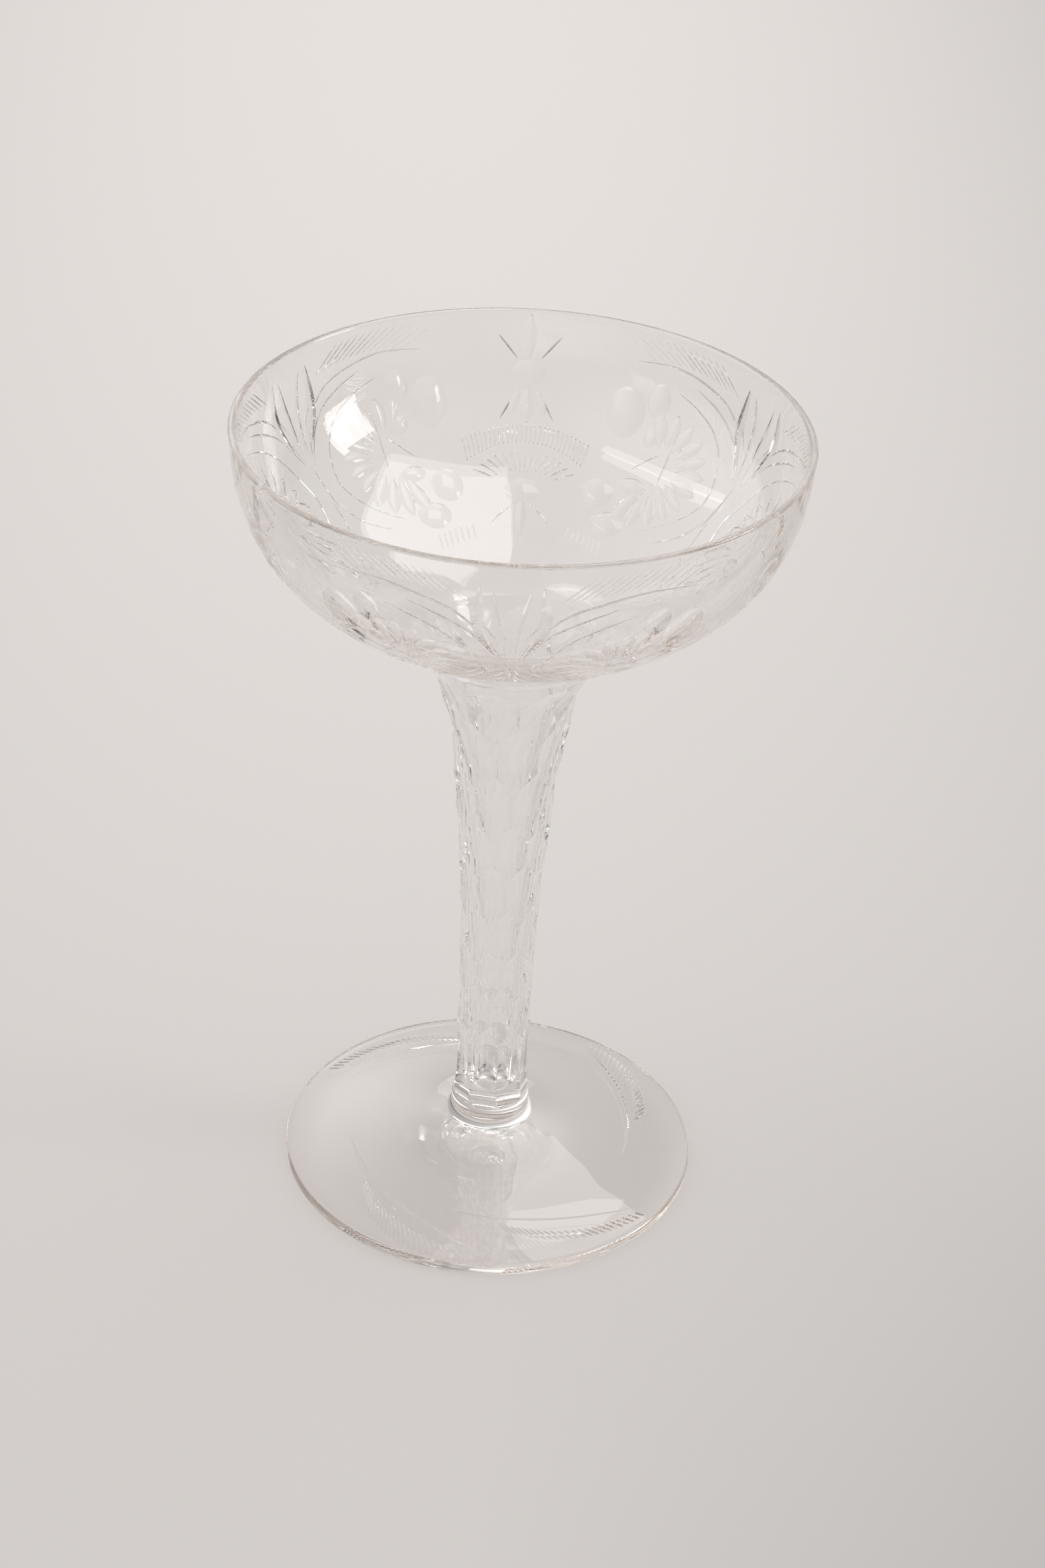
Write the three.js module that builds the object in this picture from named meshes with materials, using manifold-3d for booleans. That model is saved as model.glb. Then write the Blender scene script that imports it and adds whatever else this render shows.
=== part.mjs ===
// Champagne coupe of clear cut crystal: a shallow saucer bowl that runs open into a hollow
// faceted stem, a small collar under the stem, and a domed foot. All of it is glass that was
// joined hot, so the pieces meet face to face on level seams and nothing moves.
// Millimetres, +Z up, origin on the axis at the surface that the foot stands on.

import * as THREE from 'three';
import { mergeVertices } from 'three/addons/utils/BufferGeometryUtils.js';
import Module from 'manifold-3d';

const wasm = await Module();
wasm.setup();

// Driving dimensions
const HEIGHT = 146;
const RIM_RADIUS = 47.5;
const FOOT_RADIUS = 37;
const FOOT_TOP = 9.2; // where the collar sits on the foot
const STEM_BOTTOM = 13; // where the stem sits on the collar
const BOWL_BOTTOM = 105.5; // where the bowl takes over from the stem's flare

const LIP_WALL = 1.2;
const THROAT_WALL = 2.2;
const THROAT_RADIUS = 15;
const BORE_RADIUS = 3.7;
const BORE_BOTTOM = 14.6; // lowest point of the bore's round end

const COLLAR_RADIUS = 7.3;
const CREASE_RADIUS = 6.6; // of the creases above and below the collar
const COLLAR_EDGE = 1; // rounding of the collar's rim, top and bottom
const FOOT_EDGE = 2; // thickness of the foot at its rim
const KICK_HEIGHT = 3.6; // how far the foot's underside rises at its centre
const REST_INNER = 32.5; // the level ring that the foot stands on
const REST_OUTER = 35.8;

const ROUND_SEGMENTS = 48;
const WHEEL_SEGMENTS = 72;
const FACETS_AROUND = 8;
const FACET_PHASE = 10; // degrees from +X to the nearest flat of the second row

// Rows of flat cuts from the flare down to the foot end. For each: the height of its middle, how
// far the flats stand from the axis there, the stem's slope there, and the grinding wheel's radius.
const CUT_ROWS = [
  { z: 98, apothem: 11.1, slope: 0.28, wheel: 14 },
  { z: 88.5, apothem: 9.35, slope: 0.15, wheel: 34 },
  { z: 78.5, apothem: 8.15, slope: 0.1, wheel: 34 },
  { z: 68.5, apothem: 7.5, slope: 0.07, wheel: 34 },
  { z: 59, apothem: 6.7, slope: 0.04, wheel: 34 },
  { z: 50, apothem: 6.4, slope: 0.02, wheel: 34 },
  { z: 41.5, apothem: 6.2, slope: 0.01, wheel: 34 },
  { z: 33.5, apothem: 6.05, slope: 0, wheel: 34 },
  { z: 23.5, apothem: 6, slope: 0, wheel: 34 },
];

// Outlines, as [radius, height], that a smooth curve runs through
const BOWL_OUTSIDE = [
  [THROAT_RADIUS, BOWL_BOTTOM],
  [19.5, 109.6],
  [26, 113.4],
  [35.2, 119.2],
  [42.3, 126.7],
  [46.3, 136],
  [RIM_RADIUS, HEIGHT - LIP_WALL / 2],
];
const STEM_OUTSIDE = [
  [7, STEM_BOTTOM + 1],
  [7, 20],
  [6.9, 32],
  [7.4, 52],
  [8.7, 70],
  [10, 84],
  [11.4, 93],
  [13, 100.6],
  [THROAT_RADIUS, BOWL_BOTTOM],
];
const BORE_OUTLINE = [
  [BORE_RADIUS, BORE_BOTTOM + BORE_RADIUS],
  [BORE_RADIUS, 40],
  [4.2, 58],
  [5.3, 74],
  [6.9, 87],
  [9, 97],
  [THROAT_RADIUS - THROAT_WALL, BOWL_BOTTOM],
];
const FOOT_UPPER = [
  [CREASE_RADIUS, FOOT_TOP],
  [9, 8.4],
  [14, 6.7],
  [21, 4.9],
  [29, 3.3],
  [FOOT_RADIUS - FOOT_EDGE / 2, FOOT_EDGE],
];

const point = (radius, z) => new THREE.Vector2(radius, z);

function smooth(outline, steps) {
  const through = outline.map(([radius, z]) => new THREE.Vector3(radius, z, 0));
  const curve = new THREE.CatmullRomCurve3(through, false, 'centripetal');
  return curve.getPoints(steps).map(({ x, y }) => point(x, y));
}

function arc(centreRadius, centreZ, radius, startDegrees, endDegrees, steps) {
  const start = THREE.MathUtils.degToRad(startDegrees);
  const end = THREE.MathUtils.degToRad(endDegrees);
  const clockwise = end < start;
  const curve = new THREE.EllipseCurve(
    centreRadius, centreZ, radius, radius, start, end, clockwise,
  );
  return curve.getPoints(steps);
}

function turned(profile) {
  return new THREE.LatheGeometry(profile, ROUND_SEGMENTS).rotateX(Math.PI / 2);
}

function glass(colour) {
  return new THREE.MeshStandardMaterial({
    color: colour, roughness: 0.02, metalness: 0, transparent: true, opacity: 0.35,
  });
}

function piece(name, geometry, colour) {
  const mesh = new THREE.Mesh(geometry, glass(colour));
  mesh.name = name;
  return mesh;
}

// A three.js geometry as a manifold solid, without the triangles that shrink to nothing on the axis
function solidOf(geometry) {
  const bare = geometry.clone();
  bare.deleteAttribute('normal');
  bare.deleteAttribute('uv');
  const welded = mergeVertices(bare, 1e-4);
  const corners = welded.index.array;
  const kept = [];
  for (let i = 0; i < corners.length; i += 3) {
    const [a, b, c] = corners.slice(i, i + 3);
    if (a !== b && b !== c && c !== a) kept.push(a, b, c);
  }
  return new wasm.Manifold(new wasm.Mesh({
    numProp: 3,
    vertProperties: Float32Array.from(welded.attributes.position.array),
    triVerts: Uint32Array.from(kept),
  }));
}

function geometryOf(solid) {
  const { vertProperties, triVerts } = solid.getMesh();
  const geometry = new THREE.BufferGeometry();
  geometry.setAttribute('position', new THREE.BufferAttribute(vertProperties, 3));
  geometry.setIndex(new THREE.BufferAttribute(triVerts, 1));
  geometry.computeVertexNormals();
  return geometry;
}

// The wall thins evenly from the throat to the round lip.
function bowlGeometry() {
  const outside = smooth(BOWL_OUTSIDE, 18);
  const last = outside.length - 1;
  const inside = outside.map((here, i) => {
    const before = outside[Math.max(i - 1, 0)];
    const after = outside[Math.min(i + 1, last)];
    const along = after.clone().sub(before).normalize();
    const wall = THREE.MathUtils.lerp(THROAT_WALL, LIP_WALL, i / last);
    return point(here.x - along.y * wall, here.y + along.x * wall);
  });
  inside[0] = point(THROAT_RADIUS - THROAT_WALL, BOWL_BOTTOM);
  inside[last] = point(RIM_RADIUS - LIP_WALL, HEIGHT - LIP_WALL / 2);
  const lip = arc(RIM_RADIUS - LIP_WALL / 2, HEIGHT - LIP_WALL / 2, LIP_WALL / 2, 0, 180, 4);
  return turned([...outside, ...lip.slice(1, -1), ...inside.reverse(), outside[0]]);
}

// A grinding wheel laid against the stem, its axle level and across the stem
function wheelCut({ z, apothem, slope, wheel }, angle) {
  const lean = Math.hypot(1, slope);
  const disc = new THREE.CylinderGeometry(wheel, wheel, 2 * apothem, WHEEL_SEGMENTS);
  disc.translate(apothem + wheel / lean, 0, z - slope * wheel / lean);
  return disc.rotateZ(angle);
}

function stemGeometry() {
  const outside = smooth(STEM_OUTSIDE, 18);
  const bore = smooth(BORE_OUTLINE, 12).reverse();
  const boreEnd = arc(0, BORE_BOTTOM + BORE_RADIUS, BORE_RADIUS, 0, -90, 4).slice(1, -1);
  const profile = [
    point(0, STEM_BOTTOM), point(CREASE_RADIUS, STEM_BOTTOM),
    ...outside, ...bore, ...boreEnd, point(0, BORE_BOTTOM),
  ];
  let stem = solidOf(turned(profile));
  const pitch = 360 / FACETS_AROUND;
  CUT_ROWS.forEach((row, i) => {
    const rowPhase = FACET_PHASE + (i % 2 ? 0 : pitch / 2);
    for (let j = 0; j < FACETS_AROUND; j++) {
      const angle = THREE.MathUtils.degToRad(rowPhase + j * pitch);
      stem = stem.subtract(solidOf(wheelCut(row, angle)));
    }
  });
  return geometryOf(stem);
}

function collarGeometry() {
  const cornerRadius = COLLAR_RADIUS - COLLAR_EDGE;
  const lower = arc(cornerRadius, FOOT_TOP + COLLAR_EDGE, COLLAR_EDGE, -72, 0, 3);
  const upper = arc(cornerRadius, STEM_BOTTOM - COLLAR_EDGE, COLLAR_EDGE, 0, 72, 3);
  return turned([
    point(0, FOOT_TOP), point(CREASE_RADIUS, FOOT_TOP), ...lower,
    ...upper, point(CREASE_RADIUS, STEM_BOTTOM), point(0, STEM_BOTTOM),
  ]);
}

// The underside is kicked up in the middle, so the foot stands on a level ring near its rim.
function footGeometry() {
  const kick = [];
  const kickSteps = 5;
  for (let i = 0; i <= kickSteps; i++) {
    const share = i / kickSteps;
    kick.push(point(REST_INNER * share, KICK_HEIGHT * (1 - share * share)));
  }
  const edge = arc(FOOT_RADIUS - FOOT_EDGE / 2, FOOT_EDGE / 2, FOOT_EDGE / 2, -78, 78, 6);
  const upper = smooth(FOOT_UPPER, 10).reverse();
  return turned([...kick, point(REST_OUTER, 0), ...edge, ...upper, point(0, FOOT_TOP)]);
}

const coupe = new THREE.Group();
coupe.add(piece('bowl', bowlGeometry(), '#e9ecec'));
coupe.add(piece('hollow_stem', stemGeometry(), '#dfe4e4'));
coupe.add(piece('stem_collar', collarGeometry(), '#e6e3e0'));
coupe.add(piece('foot', footGeometry(), '#e8e4e1'));

export default coupe;
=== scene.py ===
import math

import bpy
import numpy as np
from mathutils import Matrix, Quaternion, Vector
from mathutils.geometry import delaunay_2d_cdt


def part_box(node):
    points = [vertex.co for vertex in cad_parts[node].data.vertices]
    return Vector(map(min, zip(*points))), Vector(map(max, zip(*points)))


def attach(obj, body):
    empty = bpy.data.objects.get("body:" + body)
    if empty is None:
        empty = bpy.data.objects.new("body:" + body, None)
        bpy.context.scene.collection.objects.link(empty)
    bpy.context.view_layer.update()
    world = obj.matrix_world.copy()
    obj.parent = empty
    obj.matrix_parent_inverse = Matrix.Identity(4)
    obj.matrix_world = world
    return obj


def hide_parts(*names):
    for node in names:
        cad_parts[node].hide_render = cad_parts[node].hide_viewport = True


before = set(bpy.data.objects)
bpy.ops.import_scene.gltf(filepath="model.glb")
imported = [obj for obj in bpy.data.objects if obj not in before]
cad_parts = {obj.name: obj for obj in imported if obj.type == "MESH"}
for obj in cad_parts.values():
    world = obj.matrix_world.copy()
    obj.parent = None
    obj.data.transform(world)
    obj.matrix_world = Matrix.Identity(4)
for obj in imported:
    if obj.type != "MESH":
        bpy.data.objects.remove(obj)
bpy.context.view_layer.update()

# A champagne coupe of clear cut crystal: a saucer bowl with engraved sprays, daisies and
# thumbprints, open into a hollow stem covered in staggered flats, on a small collar and a domed
# foot with four engraved sprays. Shapes are worked out in millimetres and stored in metres.

MM = 0.001


def box_mm(node):
    low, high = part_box(node)
    return low / MM, high / MM


# ---- Driving dimensions, in millimetres, from the frame where it has them

bowl_low, bowl_high = box_mm("bowl")
stem_low, _ = box_mm("hollow_stem")
_, collar_high = box_mm("stem_collar")
_, foot_high = box_mm("foot")

COLLAR_SLIM = 0.35  # how much slimmer the collar is than the frame's, which doesn't flow into the foot

HEIGHT = bowl_high.z
RIM_RADIUS = bowl_high.x
BOWL_BOTTOM = bowl_low.z
STEM_BOTTOM = stem_low.z
COLLAR_RADIUS = collar_high.x - COLLAR_SLIM
FOOT_TOP = foot_high.z
FOOT_RADIUS = foot_high.x

LIP_WALL = 1.2
THROAT_WALL = 2.2
THROAT_RADIUS = 15
BORE_RADIUS = 3.7
BORE_BOTTOM = 14.6  # lowest point of the bore's round end
CREASE_RADIUS = 6.6  # of the crease between the stem and the collar
COLLAR_EDGE = 0.5  # rounding of the collar's upper edge
COLLAR_FILLET = 2  # radius of the hollow curve in which the collar flows into the foot
NECK_SLOPE = math.radians(20)  # how steep the glass is where that curve ends
NECK_RADIUS = COLLAR_RADIUS + COLLAR_FILLET * (1 - math.sin(NECK_SLOPE))
FOOT_EDGE = 2  # thickness of the foot at its rim
FOOT_ROUND = 0.6  # rounding of the corners of the foot's edge
KICK_HEIGHT = 3.6  # how far the foot's underside rises at its centre
REST_INNER = 32.5  # the level ring that the foot stands on
REST_OUTER = 35.8

# Outlines as (radius, height), that a smooth curve runs through
BOWL_OUTSIDE = [
    (THROAT_RADIUS, BOWL_BOTTOM), (19.5, 109.6), (26, 113.4), (35.2, 119.2), (42.3, 126.7),
    (46.3, 136), (RIM_RADIUS, HEIGHT - LIP_WALL / 2),
]
STEM_OUTSIDE = [
    (7, STEM_BOTTOM + 1), (7, 20), (6.9, 32), (7.4, 52), (8.7, 70), (10, 84), (11.4, 93),
    (13, 100.6), (THROAT_RADIUS, BOWL_BOTTOM),
]
BORE_OUTLINE = [
    (BORE_RADIUS, BORE_BOTTOM + BORE_RADIUS), (BORE_RADIUS, 40), (4.2, 58), (5.3, 74),
    (6.9, 87), (9, 97), (THROAT_RADIUS - THROAT_WALL, BOWL_BOTTOM),
]
FOOT_UPPER = [
    (NECK_RADIUS, FOOT_TOP), (10.8, 8.05), (14, 6.75), (21, 4.9), (29, 3.3),
    (FOOT_RADIUS - FOOT_EDGE / 2, FOOT_EDGE),
]

# Flat cuts round the stem, from the flare down: the height of each row's middle, how far its
# flats stand from the axis there, the stem's slope there, and the grinding wheel's radius. The
# rows are the frame's. The flats are up to 0.15 deeper, most of them are a little more hollow, and
# the lowest row runs on down to the collar.
FACETS_AROUND = 8
FACET_PITCH = 360 / FACETS_AROUND
FACET_PHASE = 10  # degrees from +X to the nearest flat of the second row
RIDGE_TURN = 1.2  # degrees on each side of a ridge between flats that its polish rounds
RIDGE_WIDTH = 0.2  # the same, above and below the ridge between two rows
STEM_SHOULDER = 0.35  # from the ends of the lowest flats down to the collar
CUT_ROWS = [
    (98, 11.05, 0.28, 14), (88.5, 9.2, 0.15, 26), (78.5, 8, 0.1, 26),
    (68.5, 7.35, 0.07, 26), (59, 6.6, 0.04, 26), (50, 6.3, 0.02, 26),
    (41.5, 6.1, 0.01, 26), (33.5, 5.95, 0, 26), (21, 5.85, 0, 60),
]

# Engraving
PANELS = 3
HALF_PANEL = 180 / PANELS
PANEL_TURN = 89.5  # degrees from +X to the middle of the panel at the back
CUT_SLOPE = 0.85  # of the sides of a mitred cut
FINE_STROKE = 0.36  # width of the finest strokes
FOOT_TURN = -27  # degrees from +X to where the foot's pattern is counted from
FOOT_SPRAYS = (47, 139, 256, 313)  # degrees on from there to the middle of each spray

# How finely the glass is meshed and measured
GRID_STEP = 1.3  # of the bowl's mesh between the cuts
BOWL_COLUMNS = 60  # round half a panel
BOWL_INSIDE_ROWS = 48
STEM_COLUMNS = 7  # across half a flat
STEM_ROWS = 12  # down each row of flats
COLLAR_COLUMNS = 96
FOOT_COLUMNS = 288
FOOT_ROWS = 20
KICK_STEPS = 12
MESH_STEP = 0.7  # between the places that a groove is meshed at
MEASURE_STEP = 0.3  # between the places that it is measured from
LEAST_STEPS = 7  # along the shortest groove
LEAST_HALF_WIDTH = 0.02  # of a hollow groove at its pointed ends
LEAST_DEPTH = 1e-6  # what counts as cut
NUDGE = 0.01  # between the two depths that give a cut's slope
SNAP = 1e-4  # how near a place is to the pattern's border before it is on it
SAME_PLACE = 1e-5  # how near two places on the pattern are before they are one
SAME_POINT_DIGITS = 5  # decimals of a millimetre in which points that are welded agree
HALVINGS = 40  # of the stretch in which two surfaces are known to cross


# ---- Curves

def smooth_line(points, steps=24):
    """A centripetal Catmull-Rom curve through the points, with this many steps to each span."""
    points = np.array(points, float)
    padded = np.vstack([2 * points[0] - points[1], points, 2 * points[-1] - points[-2]])
    spans = [points[:1]]
    t = np.arange(1, steps + 1)[:, None] / steps
    for before, start, end, after in zip(padded, padded[1:], padded[2:], padded[3:]):
        k0 = np.linalg.norm(start - before) ** 0.5
        k1 = np.linalg.norm(end - start) ** 0.5
        k2 = np.linalg.norm(after - end) ** 0.5
        leave = (start - before) / k0 - (end - before) / (k0 + k1) + (end - start) / k1
        arrive = (end - start) / k1 - (after - start) / (k1 + k2) + (after - end) / k2
        spans.append(
            (2 * t**3 - 3 * t**2 + 1) * start + (t**3 - 2 * t**2 + t) * leave * k1
            + (3 * t**2 - 2 * t**3) * end + (t**3 - t**2) * arrive * k1
        )
    return np.vstack(spans)


def arc(radius, height, size, start, end, steps):
    """Points (radius, height) on an arc, with its angles in degrees from outwards to up."""
    turn = np.radians(np.linspace(start, end, steps + 1))
    return np.column_stack([radius + size * np.cos(turn), height + size * np.sin(turn)])


class Profile:
    """A turned outline, read by the distance s along it from its lower end."""

    def __init__(self, points):
        self.line = smooth_line(points)
        step = np.hypot(*np.diff(self.line, axis=0).T)
        self.s = np.concatenate([[0], np.cumsum(step)])
        self.length = self.s[-1]
        self.slope = np.gradient(self.line, self.s, axis=0)

    def at(self, s):
        return np.column_stack([np.interp(s, self.s, self.line[:, i]) for i in (0, 1)])

    def tangent(self, s):
        along = np.column_stack([np.interp(s, self.s, self.slope[:, i]) for i in (0, 1)])
        return along / np.linalg.norm(along, axis=1)[:, None]

    def radius(self, s):
        return np.interp(s, self.s, self.line[:, 0])


# ---- Cuts: each one has edges to mesh along, and a depth at any place near it. Places are
# (degrees, s): the angle round the axis from where the pattern is counted, and the profile distance.

def mm_per_degree(profile, s):
    return profile.radius(s) * math.pi / 180


def chain(points):
    """Edges that join consecutive points."""
    return [(points[i], points[i + 1]) for i in range(len(points) - 1)]


class Groove:
    """A cut made by drawing a wheel along a line: mitred to a crease, or hollow. It is widest at
    the share "belly" of its length, and its ends are fuller the smaller "blunt" is."""

    def __init__(self, profile, line, width, hollow=False, belly=0.5, blunt=0.7, slope=None):
        self.profile = profile
        dense = smooth_line(line, steps=16)
        scale = mm_per_degree(profile, dense[:, 1])
        step = np.hypot(np.diff(dense[:, 0]) * scale[1:], np.diff(dense[:, 1]))
        run = np.concatenate([[0], np.cumsum(step)])
        self.share = np.linspace(0, 1, max(LEAST_STEPS, int(run[-1] / MESH_STEP)) + 1)
        self.centre = np.column_stack(
            [np.interp(self.share * run[-1], run, dense[:, i]) for i in (0, 1)]
        )
        fine_steps = max(2 * LEAST_STEPS, int(run[-1] / MEASURE_STEP))
        fine = np.linspace(0, run[-1], fine_steps + 1)
        self.fine = np.column_stack([np.interp(fine, run, dense[:, i]) for i in (0, 1)])
        self.low = self.fine.min(0) - [2 * width / scale.min(), 2 * width]
        self.high = self.fine.max(0) + [2 * width / scale.min(), 2 * width]
        self.width = width
        self.hollow = hollow
        self.power = math.log(0.5) / math.log(belly)
        self.blunt = blunt
        self.slope = slope or CUT_SLOPE

    def half_width(self, share):
        swell = np.sin(math.pi * np.clip(share, 0, 1) ** self.power)
        return self.width / 2 * np.clip(swell, 0, 1) ** self.blunt

    def offset(self, across):
        """The line moved sideways by a share of the half width."""
        scale = mm_per_degree(self.profile, self.centre[:, 1])
        along = np.gradient(self.centre, axis=0)
        along[:, 0] *= scale
        along /= np.linalg.norm(along, axis=1)[:, None]
        reach = self.half_width(self.share) * across
        moved = self.centre.copy()
        moved[:, 0] -= along[:, 1] * reach / scale
        moved[:, 1] += along[:, 0] * reach
        return moved

    def edges(self):
        sides = (-1, -0.5, 0, 0.5, 1) if self.hollow else (-1, 0, 1)
        lines = []
        for across in sides:
            points = self.offset(across)
            points[[0, -1]] = self.centre[[0, -1]]
            lines += chain(points)
        return lines

    def place(self, where):
        """How far along the line the nearest point is, as a share, how far the place is to the
        line's left, and how far beyond its ends."""
        scale = mm_per_degree(self.profile, where[:, 1])[:, None]
        from_start = where[:, None, :] - self.fine[None, :-1, :]
        span = np.diff(self.fine, axis=0)[None]
        fx, fy = from_start[..., 0] * scale, from_start[..., 1]
        sx, sy = span[..., 0] * scale, span[..., 1] + 0 * scale
        length2 = sx**2 + sy**2
        t = np.clip((fx * sx + fy * sy) / length2, 0, 1)
        distance = np.hypot(fx - t * sx, fy - t * sy)
        best = distance.argmin(1)
        rows = np.arange(len(where))
        left = (sx * fy - sy * fx)[rows, best] / np.sqrt(length2[rows, best])
        share = (best + t[rows, best]) / (len(self.fine) - 1)
        beyond = distance[rows, best] - np.abs(left)
        return share, left, beyond

    def depth(self, where, side=None):
        share, left, beyond = self.place(where)
        half = self.half_width(share)
        if self.hollow:
            span = np.maximum(half, LEAST_HALF_WIDTH)
            return self.slope / 2 * (half - left**2 / span) - beyond
        reach = np.abs(left) if side is None else left * side
        return self.slope * (half - reach) - beyond

    def side(self, where):
        return np.where(self.place(where)[1] < 0, -1, 1)


class Thumbprint:
    """A round or oval hollow, ground and polished."""

    # Rings to mesh along: each one's share of the hollow's size, and its steps
    RINGS = ((1, 40), (0.8, 40), (0.55, 20), (0.28, 20))

    def __init__(self, profile, centre, width, height, deep):
        self.profile = profile
        self.centre = np.array(centre, float)
        self.scale = mm_per_degree(profile, centre[1])
        self.half = np.array([width / 2, height / 2])
        self.deep = deep
        reach = max(width, height)
        self.low = self.centre - [reach / self.scale, reach]
        self.high = self.centre + [reach / self.scale, reach]

    def ring(self, share, steps):
        turn = np.linspace(0, 2 * math.pi, steps + 1)
        flat = np.column_stack([np.cos(turn), np.sin(turn)]) * self.half * share
        flat[-1] = flat[0]
        return self.centre + flat / [self.scale, 1]

    def edges(self):
        return [edge for ring in self.RINGS for edge in chain(self.ring(*ring))]

    def depth(self, where, side=None):
        flat = (where - self.centre) * [self.scale, 1] / self.half
        return self.deep * (1 - (flat**2).sum(1))

    def side(self, where):
        return np.ones(len(where))


# ---- Meshing an engraved surface

def grid_points(width, length, columns, rows):
    a, s = np.meshgrid(np.linspace(0, width, columns + 1), np.linspace(0, length, rows + 1))
    return np.column_stack([a.ravel(), s.ravel()])


def deepest(cuts, where):
    """For each place, the number of the deepest cut there, or -1, and its depth or 0."""
    depth = np.full(len(where), LEAST_DEPTH)
    owner = np.full(len(where), -1)
    for i, cut in enumerate(cuts):
        near = np.flatnonzero(((where > cut.low) & (where < cut.high)).all(1))
        if not len(near):
            continue
        here = cut.depth(where[near])
        wins = here > depth[near]
        depth[near[wins]] = here[wins]
        owner[near[wins]] = i
    depth[owner < 0] = 0
    return owner, depth


def engraved_patch(profile, cuts, width, columns, rows):
    """The surface from 0 to width degrees, as places, depths, triangles, who cut each triangle,
    and each corner's normal as (round the axis, along the profile, outwards)."""
    scale = RIM_RADIUS * math.pi / 180
    places, edges = [], []

    def add(points):
        start = len(places)
        places.extend(points)
        return start

    for cut in cuts:
        for ends in cut.edges():
            start = add(ends)
            edges.append((start, start + 1))
    corners = add([(0, 0), (width, 0), (width, profile.length), (0, profile.length)])
    edges += [(corners + i, corners + (i + 1) % 4) for i in range(4)]
    grid = grid_points(width, profile.length, columns, rows)
    owner, _ = deepest(cuts, grid)
    border = ((grid == 0) | (grid == (width, profile.length))).any(1)
    add(grid[(owner < 0) | border])
    flat = [(a * scale, s) for a, s in places]
    found, _, faces, origins, *_ = delaunay_2d_cdt(flat, edges, [], 0, SAME_PLACE, True)
    where = np.array([
        places[origin[0]] if origin else (spot.x / scale, spot.y)
        for spot, origin in zip(found, origins)
    ])
    for i, far in enumerate((width, profile.length)):
        where[np.abs(where[:, i]) < SNAP, i] = 0
        where[np.abs(where[:, i] - far) < SNAP, i] = far
    faces = np.array(faces)
    middle = where[faces].mean(1)
    inside = (middle[:, 0] > 0) & (middle[:, 0] < width)
    inside &= (middle[:, 1] > 0) & (middle[:, 1] < profile.length)
    faces, middle = faces[inside], middle[inside]
    _, depth = deepest(cuts, where)
    owner, _ = deepest(cuts, middle)
    return where, depth, faces, owner, corner_normals(profile, cuts, where, faces, middle, owner)


def corner_normals(profile, cuts, where, faces, middle, owner):
    """Outwards on the uncut glass, and square to the cut's own slope inside a cut."""
    normals = np.zeros((len(faces), 3, 3))
    normals[..., 2] = 1
    for i, cut in enumerate(cuts):
        mine = np.flatnonzero(owner == i)
        if not len(mine):
            continue
        corners = where[faces[mine]].reshape(-1, 2)
        side = np.repeat(cut.side(middle[mine]), 3)
        here = cut.depth(corners, side)
        round_step = corners + np.column_stack(
            [NUDGE / mm_per_degree(profile, corners[:, 1]), np.zeros(len(corners))]
        )
        up_step = corners + [0, NUDGE]
        normals[mine, :, 0] = ((cut.depth(round_step, side) - here) / NUDGE).reshape(-1, 3)
        normals[mine, :, 1] = ((cut.depth(up_step, side) - here) / NUDGE).reshape(-1, 3)
    return normals


# ---- Building glass

class Glass:
    """Collects faces, welds them where they meet, and makes one closed mesh. Seam faces are where
    two pieces of the glass were joined hot: light passes them as if they weren't there."""

    def __init__(self):
        self.points, self.faces, self.normals, self.seams, self.groups = [], [], [], [], []

    def add(self, points, faces, normals=None, seam=False, groups=None):
        start = len(self.points)
        self.points.extend(np.asarray(points, float))
        self.faces.extend([[start + int(v) for v in face] for face in faces])
        if normals is None:
            normals = [[(0, 0, 0)] * len(face) for face in faces]
        self.normals.extend(normals)
        self.seams.extend([seam] * len(faces))
        self.groups.extend([-1] * len(faces) if groups is None else groups)

    def lathe(self, outline, turns, seam=False):
        """Turns an outline of (radius, height) round the axis through the given angles."""
        outline = np.asarray(outline, float)
        around = np.radians(turns)
        count = len(around)
        points = np.array([
            (r * math.cos(t), r * math.sin(t), z) for r, z in outline for t in around
        ])
        faces = []
        for row in range(len(outline) - 1):
            for i in range(count):
                j = (i + 1) % count
                low, high = row * count, (row + 1) * count
                faces.append((low + i, low + j, high + j, high + i))
        self.add(points, faces, seam=seam)

    def make(self, name, node, glass, joint):
        rounded = np.round(np.array(self.points), SAME_POINT_DIGITS)
        rounded += 0.0  # makes -0.0 the same as 0.0
        welded, number = np.unique(rounded, axis=0, return_inverse=True)
        number = number.ravel()
        faces, normals, seams, groups = [], [], [], []
        for face, normal, seam, group in zip(self.faces, self.normals, self.seams, self.groups):
            joined = [(int(number[v]), n) for v, n in zip(face, normal)]
            kept = [c for i, c in enumerate(joined) if c[0] != joined[i - 1][0]]
            if len(kept) < 3:
                continue
            faces.append([v for v, _ in kept])
            normals.append([n for _, n in kept])
            seams.append(seam)
            groups.append(group)
        mesh = bpy.data.meshes.new(name)
        mesh.from_pydata((welded * MM).tolist(), [], faces)
        mesh.materials.append(glass)
        mesh.materials.append(joint)
        mesh.polygons.foreach_set("material_index", np.array(seams, int))
        mesh.polygons.foreach_set("use_smooth", np.ones(len(faces), bool))
        mesh.update()
        mark_creases(mesh, np.array(groups))
        mesh.normals_split_custom_set([tuple(n) for face in normals for n in face])
        piece = bpy.data.objects.new(name, mesh)
        bpy.context.scene.collection.objects.link(piece)
        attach(piece, "root")
        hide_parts(node)


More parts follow.
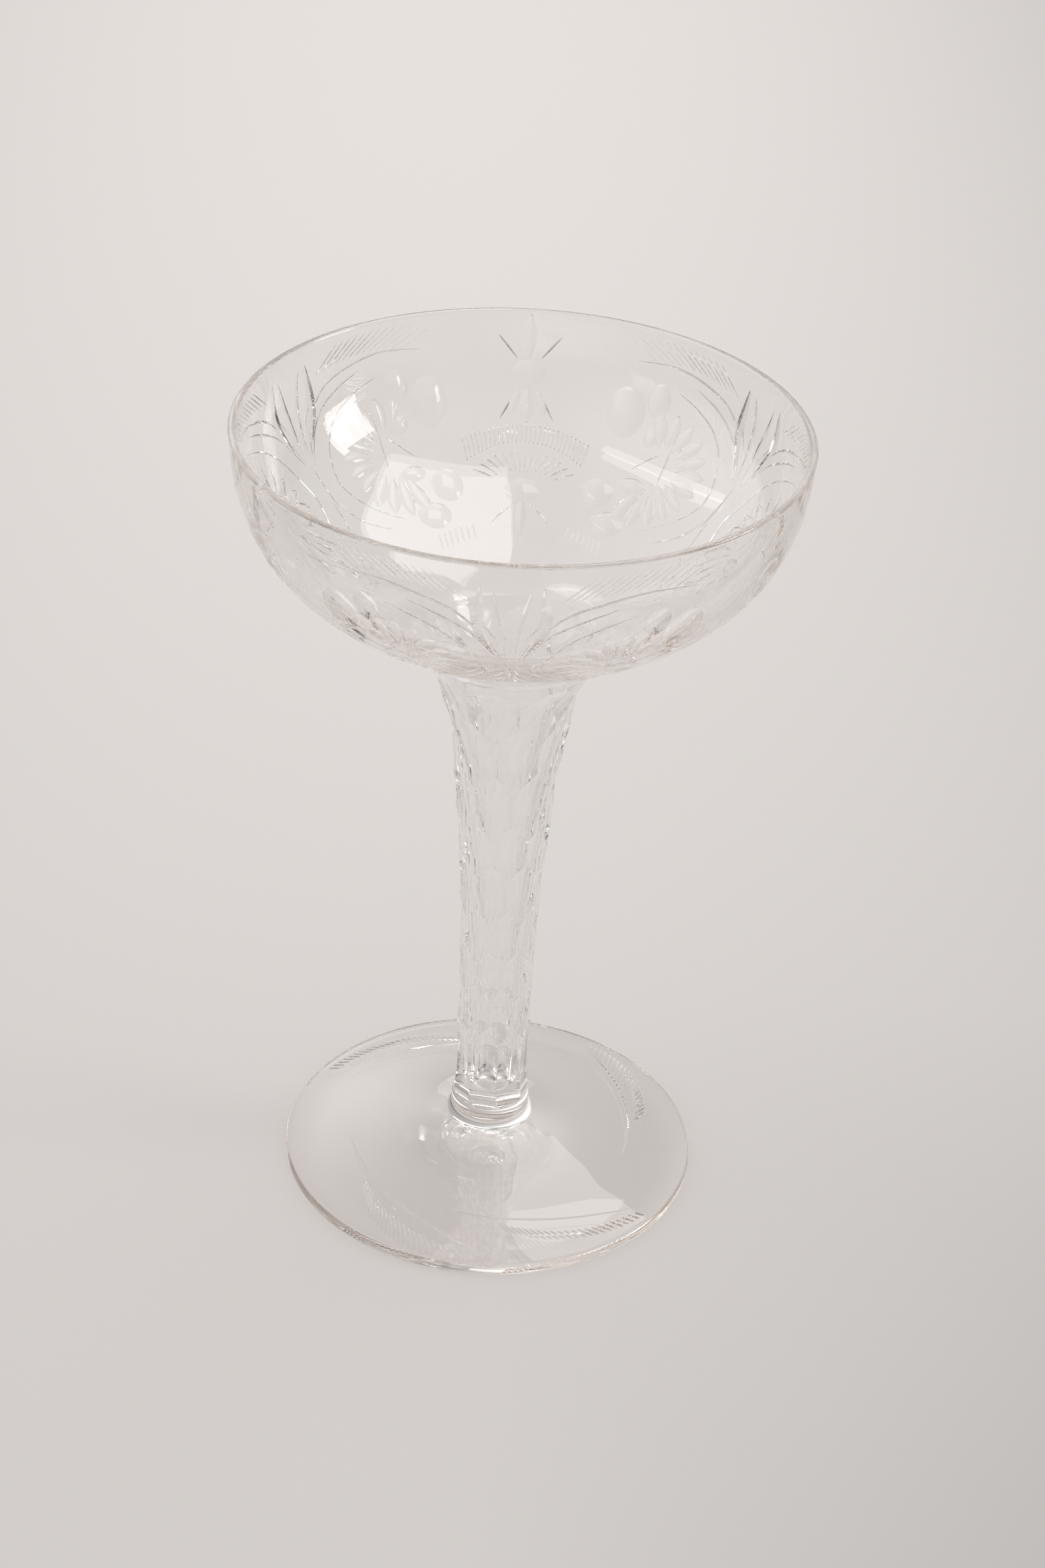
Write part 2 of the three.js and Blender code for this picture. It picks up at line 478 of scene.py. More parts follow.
def mark_creases(mesh, groups):
    """Sharp edges where a seam or a cut begins."""
    first = {}
    sharp = np.zeros(len(mesh.edges), bool)
    for polygon in mesh.polygons:
        mark = (groups[polygon.index], polygon.material_index)
        for edge in polygon.edge_keys:
            if first.setdefault(edge, mark) != mark:
                first[edge] = None
    for edge in mesh.edges:
        sharp[edge.index] = first.get(tuple(sorted(edge.vertices))) is None
    mesh.edges.foreach_set("use_edge_sharp", sharp)


def add_patch(glass, profile, patch, base, mirror, group_offset):
    """Wraps an engraved patch round the axis, from the base angle forwards or backwards."""
    where, depth, faces, owner, normals = patch
    turn = np.radians(base + mirror * where[:, 0])
    line = profile.at(where[:, 1])
    along = profile.tangent(where[:, 1])
    out = np.column_stack([along[:, 1], -along[:, 0]])
    sunk = line - out * depth[:, None]
    cos, sin = np.cos(turn), np.sin(turn)
    points = np.column_stack([sunk[:, 0] * cos, sunk[:, 0] * sin, sunk[:, 1]])
    axes = np.stack([
        np.column_stack([-sin * mirror, cos * mirror, 0 * sin]),
        np.column_stack([along[:, 0] * cos, along[:, 0] * sin, along[:, 1]]),
        np.column_stack([out[:, 0] * cos, out[:, 0] * sin, out[:, 1]]),
    ], axis=1)
    world = np.einsum("fck,fckx->fcx", normals, axes[faces])
    world /= np.linalg.norm(world, axis=2)[..., None]
    if mirror < 0:
        faces, world = faces[:, ::-1], world[:, ::-1]
    groups = np.where(owner < 0, -1, owner + group_offset)
    glass.add(points, faces, world.tolist(), groups=groups.tolist())


# ---- The bowl

def panel_cuts(profile):
    """The star, comb and fan in the middle of each panel."""
    cuts = []

    def line(points, width, **more):
        cuts.append(Groove(profile, points, width, **more))

    def oval(centre, width, height, deep):
        cuts.append(Thumbprint(profile, centre, width, height, deep))

    line([(0, 46), (0, 54)], 2.4, blunt=0.8, slope=0.35)
    line([(2.4, 45.8), (7, 50.4)], FINE_STROKE)
    oval((0, 43.3), 6, 5, deep=0.42)
    line([(0, 41), (0, 34.6)], 2.6, blunt=0.6, slope=0.3)
    line([(2.6, 40), (6.5, 35)], FINE_STROKE)
    line([(2.1, 40.4), (4.2, 35.8)], 1.6, hollow=True, slope=0.6)
    teeth = 14
    for i in range(teeth + 1):
        share = i / teeth
        top = (16.2 * share, 34.2 - 2.2 * share**2)
        foot = (16 * share - 0.6 * share, top[1] - 3.3 - 1.2 * share**2)
        line([top, foot], 0.72, blunt=0.4, slope=0.5)
    fan = (0, 21.6)
    oval(fan, 6.3, 5.3, deep=0.45)
    rays = 8
    for i in range(rays):
        share = i / (rays - 1)
        near, far = 3.4 + 2.4 * share, 7.4 + 2.2 * share
        cuts.append(
            ray(profile, fan, 90 - 64 * share, near, far, 0.7, blunt=0.4, slope=0.45)
        )
    line([(0, 20), (0, 11.1)], 1.9, belly=0.35, slope=0.35)
    line([(2.2, 19), (11.8, 14.6)], FINE_STROKE)
    return cuts


def ray(profile, centre, heading, near, far, width, **more):
    """A groove that points away from a centre; its heading is in degrees from round the axis to up."""
    aim = np.array([math.cos(math.radians(heading)), math.sin(math.radians(heading))])
    ends = []
    for reach in (near, (near + far) / 2, far):
        s = centre[1] + aim[1] * reach
        ends.append((centre[0] + aim[0] * reach / mm_per_degree(profile, (s + centre[1]) / 2), s))
    return Groove(profile, ends, width, **more)


def daisy_cuts(profile):
    """A daisy open towards the panel's middle, with thumbprints round it."""
    centre = (35.2, 30.5)
    cuts = []
    petals = 12
    for i in range(petals):
        share = i / (petals - 1)
        heading = 104 - 206 * share
        far = 10.6 + 2.2 * max(0, share - 0.6) / 0.4
        cuts.append(ray(
            profile, centre, heading, 3.7, far, 2.7, hollow=True, belly=0.58, blunt=0.8, slope=0.4,
        ))
    cuts.append(Groove(profile, [(35.8, 34), (29, 29.2)], FINE_STROKE))
    cuts.append(Groove(profile, [(37.2, 35.3), (38, 27.5)], FINE_STROKE))
    prints = [
        ((23.3, 38.9), 7.2, 9.2), ((30.6, 42.3), 4.6, 6.2), ((31, 35.6), 2.8, 3.4),
        ((22.6, 23.2), 5.8, 6.4), ((30.3, 17.7), 6.2, 5.4), ((31.6, 26.4), 4.8, 3),
    ]
    for middle, width, height in prints:
        deep = 0.065 * (width + height) / 2 + 0.12
        cuts.append(Thumbprint(profile, middle, width, height, deep))
    return cuts


def spray_cuts(profile):
    """Stalks, leaves and feathers that spring from each border between panels. The first number
    of a place is counted here from the border."""
    cuts = []

    def line(points, width, **more):
        cuts.append(Groove(profile, [(HALF_PANEL - a, s) for a, s in points], width, **more))

    line([(1.6, 35.2), (4.2, 40), (8.3, 44.2), (11.4, 46.1), (17, 47.7), (25.8, 49), (36.4, 48.4)],
         0.5, blunt=0.5, belly=0.4, slope=0.6)
    line([(1.7, 34.6), (5.5, 39.5), (8.4, 42), (13.7, 44.5), (20.7, 46.6)], 0.45, blunt=0.5,
         slope=0.6)
    line([(25.3, 44.9), (18.6, 43), (13.1, 40.6), (9.1, 37.2), (6.5, 33.1), (5.4, 28.7),
          (8.2, 24.4), (14.2, 20.4), (21, 17.6)], 0.45, blunt=0.45, slope=0.6)
    line([(3.4, 37.4), (6.4, 43.5), (5.9, 51.2)], 2, slope=0.5)
    line([(0.9, 36), (1.6, 43), (3.6, 50.6)], 0.9, belly=0.6, slope=0.5)
    line([(0, 34.4), (0, 29.5), (0, 25)], 0.5)
    line([(0.8, 27), (2.4, 22.7), (6, 19.8), (11.7, 17.4)], 0.45, blunt=0.5)
    line([(2.7, 40.5), (7.5, 46.4)], FINE_STROKE)
    feathers = 13
    for i in range(feathers):
        share = i / (feathers - 1)
        foot = (9 + 22 * share, 48.4 + 2.4 * share - 2 * share**4)
        tip = (foot[0] + 6.6, foot[1] + 4.4 - 1.3 * share)
        line([foot, tip], 0.34, blunt=0.4, slope=0.32)
    strokes = 7
    for i in range(strokes):
        share = i / (strokes - 1)
        line([(26 + 16 * share, 10.6 + share), (28 + 14 * share, 14.2 + 1.2 * share)], 0.45, slope=0.3)
    return cuts


def bowl_inside(profile, rows):
    """The inner outline from the throat up to the lip; the wall thins evenly on the way."""
    s = np.linspace(0, profile.length, rows + 1)
    along = profile.tangent(s)
    wall = np.linspace(THROAT_WALL, LIP_WALL, rows + 1)[:, None]
    inside = profile.at(s) + np.column_stack([-along[:, 1], along[:, 0]]) * wall
    inside[0] = (THROAT_RADIUS - THROAT_WALL, BOWL_BOTTOM)
    inside[-1] = (RIM_RADIUS - LIP_WALL, HEIGHT - LIP_WALL / 2)
    return inside


def make_bowl(glass, joint):
    profile = Profile(BOWL_OUTSIDE)
    cuts = panel_cuts(profile) + daisy_cuts(profile) + spray_cuts(profile)
    rows = round(profile.length / GRID_STEP)
    patch = engraved_patch(profile, cuts, HALF_PANEL, BOWL_COLUMNS, rows)
    bowl = Glass()
    for panel in range(PANELS):
        base = PANEL_TURN + panel * 360 / PANELS
        add_patch(bowl, profile, patch, base, 1, (2 * panel) * len(cuts))
        add_patch(bowl, profile, patch, base, -1, (2 * panel + 1) * len(cuts))
    step = HALF_PANEL / BOWL_COLUMNS
    turns = PANEL_TURN + step * np.arange(round(360 / step))
    lip = arc(RIM_RADIUS - LIP_WALL / 2, HEIGHT - LIP_WALL / 2, LIP_WALL / 2, 0, 180, steps=8)
    bowl.lathe(lip, turns)
    inside = bowl_inside(profile, BOWL_INSIDE_ROWS)[::-1]
    bowl.lathe(inside, turns)
    bowl.lathe([inside[-1], profile.line[0]], turns, seam=True)
    bowl.make("bowl_crystal", "bowl", glass, joint)


# ---- The stem

def row_radius(row, turn, z):
    """How far from the axis a row's flats leave the surface, at an angle from a flat's middle."""
    middle, apothem, slope, wheel = row
    lean = math.hypot(1, slope)
    centre_radius = apothem + wheel / lean
    centre_height = middle - slope * wheel / lean
    reach = np.sqrt(np.maximum(wheel**2 - (z - centre_height) ** 2, 0))
    return (centre_radius - reach) / np.cos(np.radians(turn))


def turn_from_flat(row_number, turns):
    """Degrees from the nearest flat of a row, at each angle round the stem."""
    phase = FACET_PHASE + (0 if row_number % 2 else FACET_PITCH / 2)
    return (turns - phase + FACET_PITCH / 2) % FACET_PITCH - FACET_PITCH / 2


def flat_normals(row_number, turns, radius, z):
    """Which way a row's flats face at each angle: towards the wheel's axle. On the ridge between
    two flats and where a flat doesn't reach it is zero, which leaves it to the mesh."""
    middle, apothem, slope, wheel = CUT_ROWS[row_number]
    lean = math.hypot(1, slope)
    away = turn_from_flat(row_number, turns)
    facing = np.radians(turns - away)
    outwards = apothem + wheel / lean - radius * np.cos(np.radians(away))
    up = middle - slope * wheel / lean - z
    normals = np.column_stack([outwards * np.cos(facing), outwards * np.sin(facing), up]) / wheel
    on_ridge = np.isclose(np.abs(away), FACET_PITCH / 2)
    missed = radius < row_radius(CUT_ROWS[row_number], away, z) - LEAST_DEPTH
    normals[on_ridge | missed] = 0
    return normals


def crossing(high, low, upper, lower):
    """Heights, one for each angle, where one surface takes over from another. The upper one is
    the smaller at the top of the search."""
    high, low = np.array(high, float), np.array(low, float)
    for _ in range(HALVINGS):
        middle = (high + low) / 2
        above = upper(middle) < lower(middle)
        high = np.where(above, middle, high)
        low = np.where(above, low, middle)
    return (high + low) / 2


def make_stem(glass, joint):
    half = FACET_PITCH / 2
    steps = np.concatenate([[0], np.linspace(RIDGE_TURN, half - RIDGE_TURN, STEM_COLUMNS)])
    turns = (FACET_PHASE + half * np.arange(2 * FACETS_AROUND)[:, None] + steps).ravel()
    blank = Profile(STEM_OUTSIDE)

    def blank_radius(z):
        return np.interp(z, blank.line[:, 1], blank.line[:, 0])

    def cut_radius(number):
        away = turn_from_flat(number, turns)
        return lambda z: row_radius(CUT_ROWS[number], away, z)

    full = np.ones(len(turns))
    borders = [full * BOWL_BOTTOM]
    surfaces = [blank_radius]
    for number, row in enumerate(CUT_ROWS):
        above = CUT_ROWS[number - 1][0] if number else BOWL_BOTTOM
        borders.append(crossing(full * above, full * row[0], surfaces[-1], cut_radius(number)))
        surfaces.append(cut_radius(number))
    borders.append(full * (STEM_BOTTOM + STEM_SHOULDER))

    # Each row of flats has one ring on its upper border, and the others keep clear of the ridges
    rings, normals = [], []
    for number, (top, bottom, surface) in enumerate(zip(borders, borders[1:], surfaces)):
        ridge = np.minimum(RIDGE_WIDTH, (top - bottom) / 4)
        for share in [None] + list(np.linspace(0, 1, STEM_ROWS)):
            z = top if share is None else top - ridge - (top - bottom - 2 * ridge) * share
            radius = np.minimum(surface(z), blank_radius(z))
            rings.append((radius, z))
            if number and share is not None:
                normals.append(flat_normals(number - 1, turns, radius, z))
            else:
                normals.append(np.zeros((len(turns), 3)))
    rings.append((full * CREASE_RADIUS, full * STEM_BOTTOM))
    normals.append(np.zeros((len(turns), 3)))

    count = len(turns)
    cos, sin = np.cos(np.radians(turns)), np.sin(np.radians(turns))
    points = np.vstack([np.column_stack([r * cos, r * sin, z]) for r, z in rings])
    faces = []
    for row in range(len(rings) - 1):
        low, high = (row + 1) * count, row * count
        for i in range(count):
            j = (i + 1) % count
            faces.append((low + i, low + j, high + j, high + i))
    stem = Glass()
    stem.add(points, faces, np.vstack(normals)[np.array(faces)].tolist())
    bore = smooth_line(BORE_OUTLINE, steps=8)[::-1]
    end = arc(0, BORE_BOTTOM + BORE_RADIUS, BORE_RADIUS, 0, -90, steps=8)[1:]
    end[-1, 0] = 0
    stem.lathe(np.vstack([bore, end]), turns)
    stem.lathe([bore[0], (THROAT_RADIUS, BOWL_BOTTOM)][::-1], turns, seam=True)
    stem.lathe([(0, STEM_BOTTOM), (CREASE_RADIUS, STEM_BOTTOM)], turns, seam=True)
    stem.make("stem_crystal", "hollow_stem", glass, joint)


# ---- The collar and the foot

def make_collar(glass, joint):
    turns = np.arange(COLLAR_COLUMNS) * 360 / COLLAR_COLUMNS
    fillet = arc(
        COLLAR_RADIUS + COLLAR_FILLET, FOOT_TOP + COLLAR_FILLET * math.cos(NECK_SLOPE),
        COLLAR_FILLET, 270 - math.degrees(NECK_SLOPE), 180, steps=10,
    )
    corner = COLLAR_RADIUS - COLLAR_EDGE
    upper = arc(corner, STEM_BOTTOM - COLLAR_EDGE, COLLAR_EDGE, 0, 72, steps=7)
    collar = Glass()
    high = (CREASE_RADIUS, STEM_BOTTOM)
    collar.lathe(np.vstack([fillet, upper, [high]]), turns)
    collar.lathe([high, (0, STEM_BOTTOM)], turns, seam=True)
    collar.lathe([(0, FOOT_TOP), (NECK_RADIUS, FOOT_TOP)], turns, seam=True)
    collar.make("collar_crystal", "stem_collar", glass, joint)


def foot_cuts(profile, turn):
    """A curved stalk with a comb of feathers on its outer side. Places are given as degrees from
    the stalk's middle and radius."""

    def place(angle, radius):
        return (turn + angle, float(np.interp(radius, profile.line[::-1, 0], profile.s[::-1])))

    stalk = [(-38, 25.3), (-25, 25.3), (-14, 25.8), (-3, 26.5), (7, 27.4), (17, 28.7),
             (27, 30.4), (38, 33)]
    cuts = [Groove(profile, [place(a, r) for a, r in stalk], 0.5, blunt=0.4, slope=0.55)]
    feathers = 22
    for i in range(feathers):
        share = i / (feathers - 1)
        foot = (-11 + 47 * share, 26.8 + 9.2 * share - 2.6 * share**2)
        tip = (foot[0] + 5.4 - 3.4 * share, foot[1] + 3.2 - share)
        cuts.append(Groove(profile, [place(*foot), place(*tip)], 0.52, blunt=0.5, slope=0.7))
    return cuts


def make_foot(glass, joint):
    profile = Profile(FOOT_UPPER[::-1])
    cuts = [cut for turn in FOOT_SPRAYS for cut in foot_cuts(profile, turn)]
    patch = engraved_patch(profile, cuts, 360, FOOT_COLUMNS, FOOT_ROWS)
    foot = Glass()
    add_patch(foot, profile, patch, FOOT_TURN, 1, 0)
    turns = FOOT_TURN + np.arange(FOOT_COLUMNS) * 360 / FOOT_COLUMNS
    shares = [i / KICK_STEPS for i in range(KICK_STEPS + 1)]
    kick = [(REST_INNER * share, KICK_HEIGHT * (1 - share**2)) for share in shares]
    corner = FOOT_RADIUS - FOOT_ROUND
    lower = arc(corner, FOOT_ROUND, FOOT_ROUND, -90, 0, steps=8)
    upper = arc(corner, FOOT_EDGE - FOOT_ROUND, FOOT_ROUND, 0, 90, steps=8)
    foot.lathe(np.vstack([kick, [(REST_OUTER, 0)], lower, upper, profile.line[:1]]), turns)
    foot.lathe([(NECK_RADIUS, FOOT_TOP), (0, FOOT_TOP)], turns, seam=True)
    foot.make("foot_crystal", "foot", glass, joint)


# ---- Materials

def node(tree, kind, **settings):
    made = tree.nodes.new(kind)
    for name, value in settings.items():
        made.inputs[name.replace("_", " ")].default_value = value
    return made


def math_node(tree, operation, *values):
    made = tree.nodes.new("ShaderNodeMath")
    made.operation = operation
    for socket, value in zip(made.inputs, values):
        if isinstance(value, (int, float)):
            socket.default_value = value
        else:
            tree.links.new(value, socket)
    return made.outputs["Value"]


def crystal(name, tint, clear_tint, cloud_size, wear, ripple, lit, lit_edge):
    """Clear polished glass: a faint tint that drifts, slow ripples from the fire polish, and
    a little haze where it has been handled. "lit" is how much of a lamp's light it lets onto the
    table where the light meets it squarely, and "lit_edge" where the light grazes it."""
    material = bpy.data.materials.new(name)
    material.use_nodes = True
    tree = material.node_tree
    tree.nodes.remove(tree.nodes["Principled BSDF"])
    shader = node(tree, "ShaderNodeBsdfGlass", IOR=1.53)
    place = tree.nodes.new("ShaderNodeTexCoord")
    cloud = node(tree, "ShaderNodeTexNoise", Scale=1 / cloud_size, Detail=3)
    tree.links.new(place.outputs["Object"], cloud.inputs["Vector"])
    colour = tree.nodes.new("ShaderNodeValToRGB")
    colour.color_ramp.elements[0].position = 0.3
    colour.color_ramp.elements[0].color = (*tint, 1)
    colour.color_ramp.elements[1].position = 0.7
    colour.color_ramp.elements[1].color = (*clear_tint, 1)
    tree.links.new(cloud.outputs["Fac"], colour.inputs["Fac"])
    tree.links.new(colour.outputs["Color"], shader.inputs["Color"])
    haze = node(tree, "ShaderNodeMapRange", From_Min=0.45, From_Max=0.8, To_Min=0.0, To_Max=wear)
    tree.links.new(cloud.outputs["Fac"], haze.inputs["Value"])
    tree.links.new(haze.outputs["Result"], shader.inputs["Roughness"])
    swell = node(tree, "ShaderNodeTexNoise", Scale=1 / (9 * MM), Detail=1)
    tree.links.new(place.outputs["Object"], swell.inputs["Vector"])
    bump = node(tree, "ShaderNodeBump", Strength=ripple, Distance=0.1 * MM)
    tree.links.new(swell.outputs["Fac"], bump.inputs["Height"])
    tree.links.new(bump.outputs["Normal"], shader.inputs["Normal"])
    let_light_through(tree, shader, lit, lit_edge)
    return material


def let_light_through(tree, shader, lit, lit_edge):
    """Lamps shine through the glass onto the table, and lose most where they graze the glass."""
    facing = node(tree, "ShaderNodeLayerWeight", Blend=0.35)
    shade = tree.nodes.new("ShaderNodeValToRGB")
    shade.color_ramp.elements[0].color = (lit, lit, lit, 1)
    shade.color_ramp.elements[1].color = (lit_edge, 0.97 * lit_edge, 0.96 * lit_edge, 1)
    clear = tree.nodes.new("ShaderNodeBsdfTransparent")
    path = tree.nodes.new("ShaderNodeLightPath")
    either = math_node(
        tree, "MAXIMUM", path.outputs["Is Shadow Ray"], path.outputs["Is Diffuse Ray"]
    )
    mix = tree.nodes.new("ShaderNodeMixShader")
    tree.links.new(facing.outputs["Facing"], shade.inputs["Fac"])
    tree.links.new(shade.outputs["Color"], clear.inputs["Color"])
    tree.links.new(either, mix.inputs["Fac"])
    tree.links.new(shader.outputs["BSDF"], mix.inputs[1])
    tree.links.new(clear.outputs["BSDF"], mix.inputs[2])
    tree.links.new(mix.outputs["Shader"], tree.nodes["Material Output"].inputs["Surface"])


def hot_joint():
    """The inside of a fused seam, which can't be seen."""
    material = bpy.data.materials.new("fused joint")
    material.use_nodes = True
    tree = material.node_tree
    tree.nodes.remove(tree.nodes["Principled BSDF"])
    clear = tree.nodes.new("ShaderNodeBsdfTransparent")
    tree.links.new(clear.outputs["BSDF"], tree.nodes["Material Output"].inputs["Surface"])
    return material


def paper():
    """Matt pale seamless paper, with painted light and shade in its colour: painted shade makes it
    darker away to either side and in the near right corner, and painted light makes it a little
    lighter behind. Places in it are in metres."""
    material = bpy.data.materials.new("studio paper")
    material.use_nodes = True
    tree = material.node_tree
    shader = tree.nodes["Principled BSDF"]
    shader.inputs["Roughness"].default_value = 0.8
    shader.inputs["Specular IOR Level"].default_value = 0.1
    place = tree.nodes.new("ShaderNodeTexCoord")
    axes = tree.nodes.new("ShaderNodeSeparateXYZ")
    tree.links.new(place.outputs["Object"], axes.inputs["Vector"])
    # painted shade: the paper gets darker away to either side of the glass
    across = math_node(tree, "ADD", axes.outputs["X"], 0.08)
    across = math_node(tree, "MULTIPLY", across, across)
    across = math_node(tree, "MINIMUM", across, 0.09)
    # painted light: the paper gets a little lighter behind the glass
    along = node(tree, "ShaderNodeMapRange", From_Min=-0.2, From_Max=0.7, To_Min=0.9, To_Max=1.16)
    tree.links.new(axes.outputs["Y"], along.inputs["Value"])
    painted_side_shade = math_node(tree, "MULTIPLY", across, -4)
    light = math_node(tree, "ADD", along.outputs["Result"], painted_side_shade)
    # painted shade in the near right corner
    rightwards = math_node(tree, "MAXIMUM", axes.outputs["X"], 0)
    nearer = math_node(tree, "SUBTRACT", 0.05, axes.outputs["Y"])
    corner = math_node(tree, "MULTIPLY", rightwards, math_node(tree, "MAXIMUM", nearer, 0))
    light = math_node(tree, "MULTIPLY_ADD", math_node(tree, "MINIMUM", corner, 0.03), -7, light)
    # the paper's colour times this painted light and shade
    painted_paper_tone = tree.nodes.new("ShaderNodeVectorMath")
    painted_paper_tone.operation = "SCALE"
    painted_paper_tone.inputs[0].default_value = PAPER_COLOUR
    tree.links.new(light, painted_paper_tone.inputs["Scale"])
    tree.links.new(painted_paper_tone.outputs["Vector"], shader.inputs["Base Color"])
    return material


# ---- Studio

# The photograph's camera, from the outlines of the rim, the foot and the stem: its place and
# lens in millimetres, and its angles in degrees
CAMERA_PLACE = (0, -481.2, 377.65)
CAMERA_YAW = 0.3442
CAMERA_PITCH = 31.8756
CAMERA_ROLL = 3.0787
CAMERA_LENS = 75.78
LAMP_COLOUR = (1, 0.985, 0.97)
LIGHT_BOUNCES = 40  # fewer leave dark blobs where the light is caught between cuts
# the paper's own colour, which paper() scales by painted light and shade
PAPER_COLOUR = (0.752, 0.728, 0.714)
WORLD_STRENGTH = 0.44
GLOW_STRENGTH = 1.1
GLOW_DIRECTION = (-0.27, 0.82, 0.5)  # a soft glow low behind the glass, that the foot mirrors
GLOW_TIGHTNESS = 24
FLOOR_REACH = 12  # metres from the glass to the paper's edges, so that they pass for a horizon
FLOOR_GAP = 0.05 * MM  # keeps the paper clear of the ring that the foot stands on


def make_camera():
    yaw, pitch, roll = (math.radians(v) for v in (CAMERA_YAW, CAMERA_PITCH, CAMERA_ROLL))
    forward = Vector((
        math.sin(yaw) * math.cos(pitch), math.cos(yaw) * math.cos(pitch), -math.sin(pitch)
    ))
    level = Vector((math.cos(yaw), -math.sin(yaw), 0))
    upright = level.cross(forward)
    right = level * math.cos(roll) + upright * math.sin(roll)
    up = upright * math.cos(roll) - level * math.sin(roll)
    data = bpy.data.cameras.new("camera")
    data.lens = CAMERA_LENS
    data.sensor_width = 36
    camera = bpy.data.objects.new("camera", data)
    turn = Matrix((right, up, -forward)).transposed().to_4x4()
    camera.matrix_world = Matrix.Translation(Vector(CAMERA_PLACE) * MM) @ turn
    bpy.context.scene.collection.objects.link(camera)
    bpy.context.scene.camera = camera


def make_floor():
    corners = ((-1, -1), (1, -1), (1, 1), (-1, 1))
    mesh = bpy.data.meshes.new("paper_floor")
    mesh.from_pydata(
        [(FLOOR_REACH * x, FLOOR_REACH * y, -FLOOR_GAP) for x, y in corners], [], [(0, 1, 2, 3)],
    )
    mesh.materials.append(paper())
    floor = bpy.data.objects.new("paper_floor", mesh)
    bpy.context.scene.collection.objects.link(floor)


def softbox(name, place, aim, width, height, brightness, roll=0):
    """A rectangular soft light. Its place, aim and size are in metres, its roll in degrees, and
    its brightness doesn't depend on its size."""
    data = bpy.data.lights.new(name, "AREA")
    data.shape = "RECTANGLE"
    data.size = width
    data.size_y = height
    data.energy = brightness * math.pi * width * height
    data.color = LAMP_COLOUR
    light = bpy.data.objects.new(name, data)
    light.location = place
    light.rotation_mode = "QUATERNION"
    facing = (Vector(aim) - Vector(place)).to_track_quat("-Z", "Y")
    light.rotation_quaternion = facing @ Quaternion((0, 0, 1), math.radians(roll))
    bpy.context.scene.collection.objects.link(light)


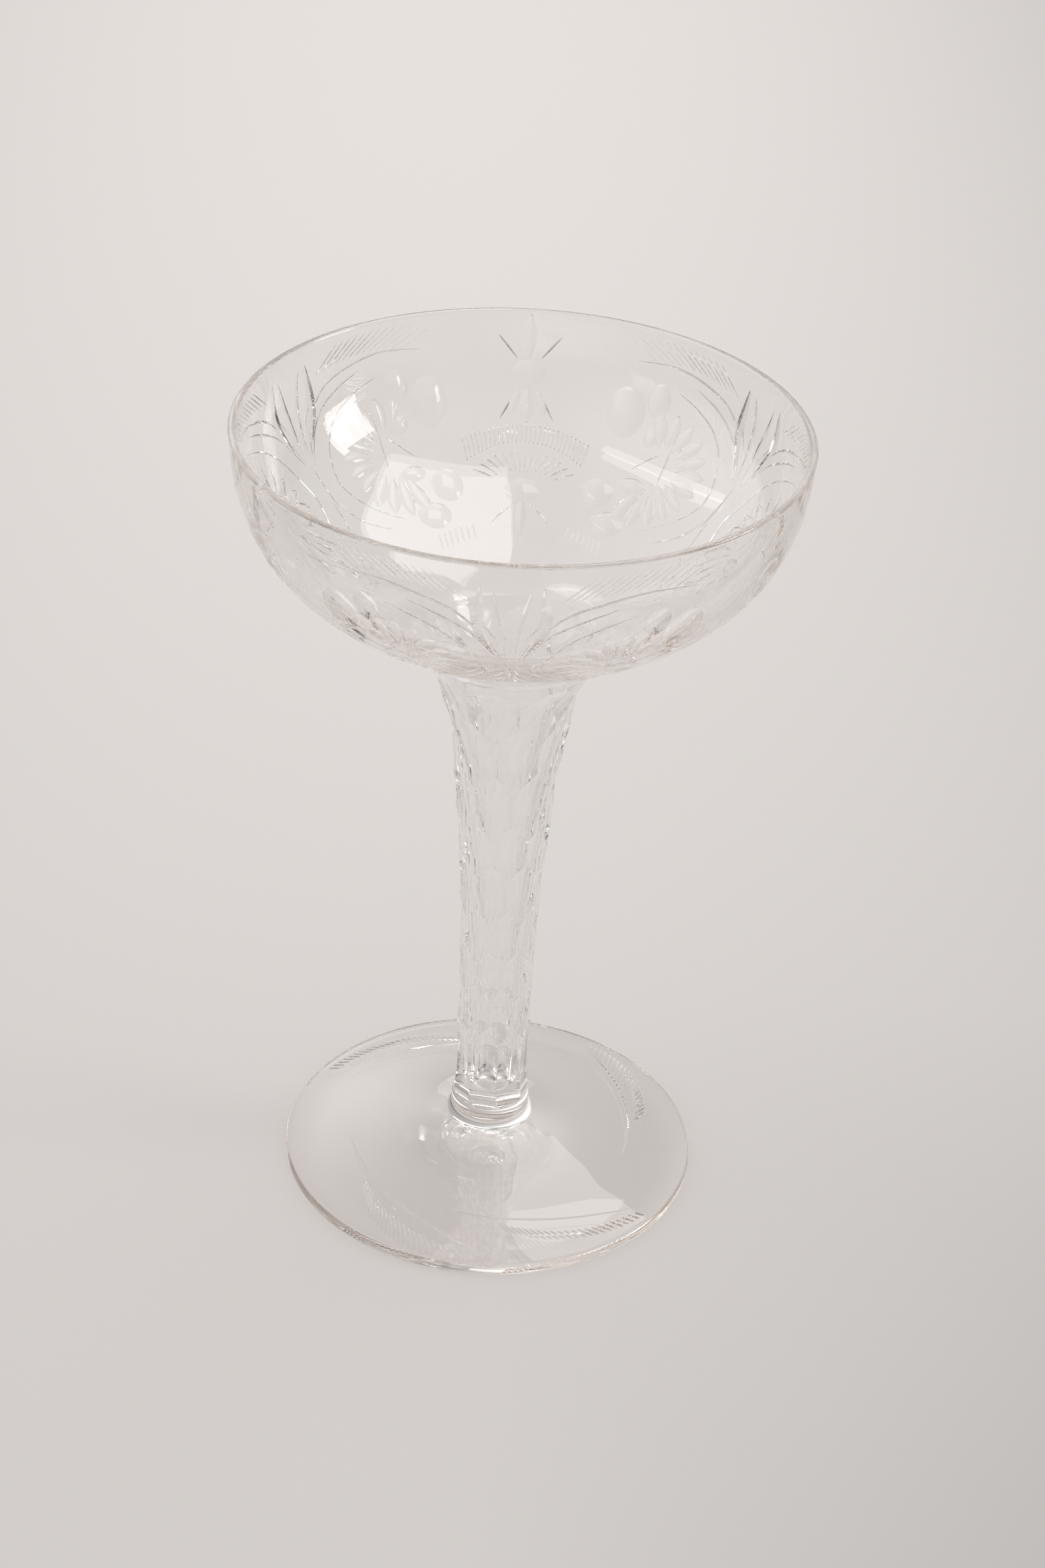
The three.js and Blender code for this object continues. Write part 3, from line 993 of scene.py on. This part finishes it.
def make_world():
    """A pale room. The glass sees it darker low down, in front and at the right, which gives it
    edges to show, and brighter at the left. The camera itself sees no dark part."""
    world = bpy.data.worlds.new("studio")
    world.use_nodes = True
    tree = world.node_tree
    background = tree.nodes["Background"]
    direction = tree.nodes.new("ShaderNodeTexCoord")
    axes = tree.nodes.new("ShaderNodeSeparateXYZ")
    tree.links.new(direction.outputs["Generated"], axes.inputs["Vector"])
    low = node(tree, "ShaderNodeMapRange", From_Min=0.15, From_Max=0.6, To_Min=1, To_Max=0)
    tree.links.new(axes.outputs["Z"], low.inputs["Value"])
    near = node(tree, "ShaderNodeMapRange", From_Min=0.2, From_Max=-0.5, To_Min=0, To_Max=0.6)
    tree.links.new(axes.outputs["Y"], near.inputs["Value"])
    right = node(tree, "ShaderNodeMapRange", From_Min=0.2, From_Max=0.8, To_Min=0, To_Max=1)
    tree.links.new(axes.outputs["X"], right.inputs["Value"])
    left = node(tree, "ShaderNodeMapRange", From_Min=-0.2, From_Max=-0.9, To_Min=0, To_Max=0.85)
    tree.links.new(axes.outputs["X"], left.inputs["Value"])
    where = math_node(tree, "MAXIMUM", near.outputs["Result"], right.outputs["Result"])
    dark = math_node(tree, "MULTIPLY", where, low.outputs["Result"])
    path = tree.nodes.new("ShaderNodeLightPath")
    unseen = math_node(tree, "SUBTRACT", 1, path.outputs["Is Camera Ray"])
    dark = math_node(tree, "MULTIPLY", dark, unseen)
    toward = tree.nodes.new("ShaderNodeVectorMath")
    toward.operation = "DOT_PRODUCT"
    toward.inputs[1].default_value = GLOW_DIRECTION
    tree.links.new(direction.outputs["Generated"], toward.inputs[0])
    ahead = math_node(tree, "MAXIMUM", toward.outputs["Value"], 0)
    glow = math_node(tree, "POWER", ahead, GLOW_TIGHTNESS)
    strength = math_node(tree, "MULTIPLY_ADD", glow, GLOW_STRENGTH, WORLD_STRENGTH)
    strength = math_node(tree, "ADD", strength, left.outputs["Result"])
    tree.links.new(strength, background.inputs["Strength"])
    room = tree.nodes.new("ShaderNodeValToRGB")
    room.color_ramp.elements[0].color = (1, 0.975, 0.955, 1)
    room.color_ramp.elements[1].color = (0.05, 0.045, 0.04, 1)
    tree.links.new(dark, room.inputs["Fac"])
    tree.links.new(room.outputs["Color"], background.inputs["Color"])
    bpy.context.scene.world = world


def make_lights():
    bowl_middle = (0, 0, 0.12)
    softbox(
        "overhead", (0.42, 0.36, 1.1), (0.42, 0.36, 0),
        width=0.84, height=1.08, brightness=1.9, roll=8,
    )
    softbox(
        "side window", (1.0, -0.07, 0.45), bowl_middle,
        width=0.34, height=0.45, brightness=6.5,
    )
    softbox(
        "strip", (-1.0, 0.05, 1.1), bowl_middle,
        width=1.5, height=0.12, brightness=2, roll=34,
    )


make_camera()
make_floor()
make_world()
make_lights()
bpy.context.scene.view_settings.view_transform = "Standard"
cycles = bpy.context.scene.cycles
cycles.max_bounces = LIGHT_BOUNCES
cycles.transmission_bounces = LIGHT_BOUNCES
cycles.glossy_bounces = LIGHT_BOUNCES
cycles.transparent_max_bounces = LIGHT_BOUNCES

joint = hot_joint()
bowl_crystal = crystal(
    "bowl crystal", (0.991, 0.987, 0.984), (0.997, 0.994, 0.992),
    cloud_size=30 * MM, wear=0.004, ripple=0.1, lit=1, lit_edge=0.8,
)
make_bowl(bowl_crystal, joint)
stem_crystal = crystal(
    "stem crystal", (0.99, 0.988, 0.986), (0.997, 0.996, 0.995),
    cloud_size=20 * MM, wear=0.002, ripple=0.01, lit=0.9, lit_edge=0.6,
)
make_stem(stem_crystal, joint)
collar_crystal = crystal(
    "collar crystal", (0.982, 0.977, 0.972), (0.99, 0.986, 0.983),
    cloud_size=10 * MM, wear=0.002, ripple=0.02, lit=0.8, lit_edge=0.5,
)
make_collar(collar_crystal, joint)
foot_crystal = crystal(
    "foot crystal", (0.982, 0.974, 0.969), (0.99, 0.985, 0.98),
    cloud_size=25 * MM, wear=0.006, ripple=0.1, lit=1, lit_edge=0.82,
)
make_foot(foot_crystal, joint)
